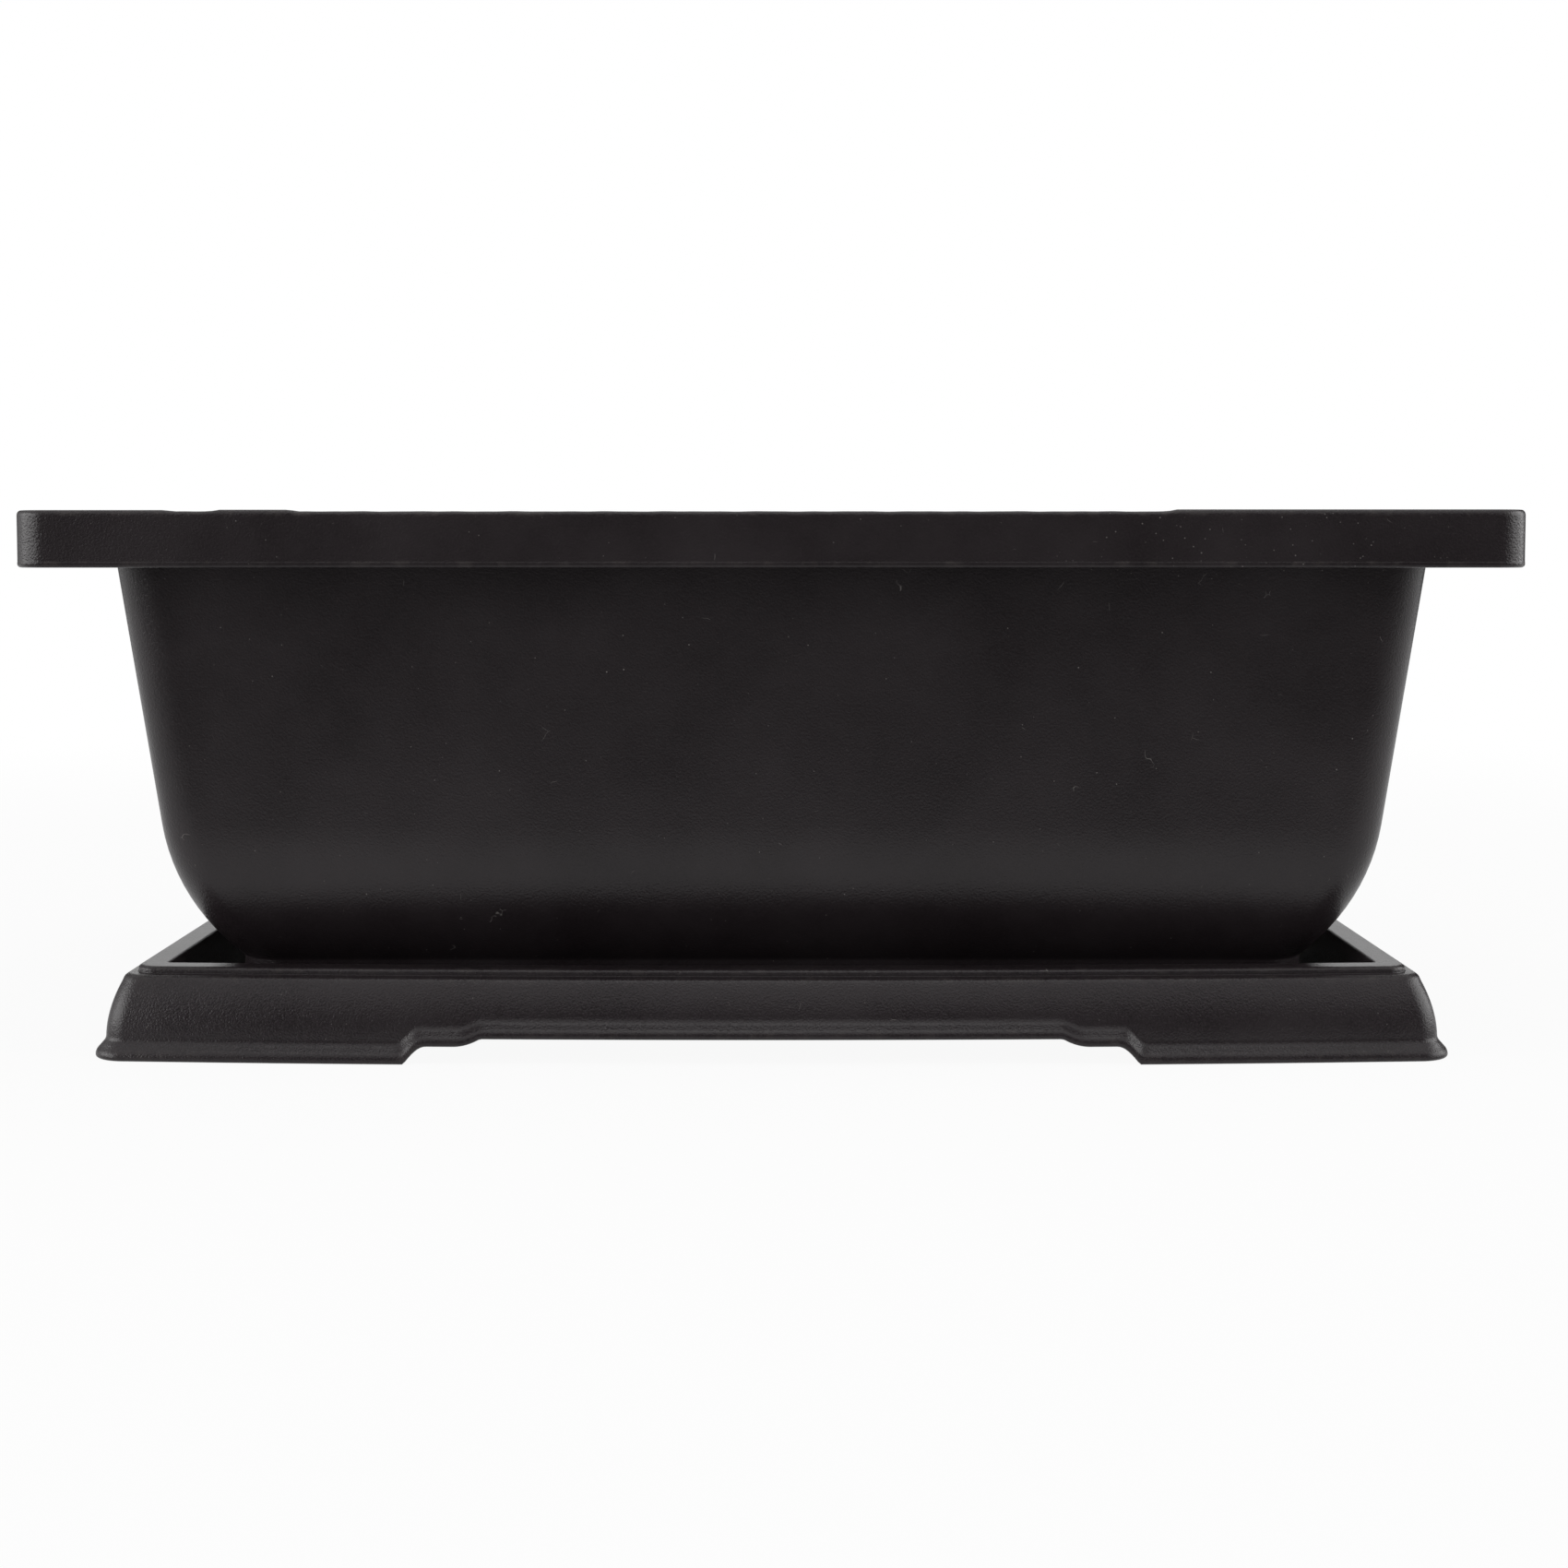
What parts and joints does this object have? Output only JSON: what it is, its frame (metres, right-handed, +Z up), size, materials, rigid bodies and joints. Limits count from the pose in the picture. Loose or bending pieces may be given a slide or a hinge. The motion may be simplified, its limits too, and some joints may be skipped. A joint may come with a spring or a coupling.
{
  "type": "rectangular flower pot with drip tray",
  "caption": "Dark plastic trough pot with a tapered wall, rounded heel and overhanging band rim, standing loose in a footed drip tray that catches its drain water.",
  "frame": {"origin": "on the ground under the middle of the tray", "axes": "+X along the pot's long side, +Y towards its back, +Z up"},
  "size_m": [0.27, 0.2, 0.1013],
  "materials": {
    "pot_plastic": "dark brown-grey moulded polypropylene with a fine matt grain and a soft sheen",
    "tray_plastic": "dark brown-grey moulded polypropylene with a slightly coarser matt grain and a soft sheen"
  },
  "bodies": {
    "tray": {"drip_tray": "tray_plastic"},
    "pot": {"pot": "pot_plastic"}
  },
  "joints": [
    {"name": "pot_lift", "type": "slide", "parent": "tray", "child": "pot", "axis": [0, 0, 1], "range_m": [0, 0.06]}
  ]
}
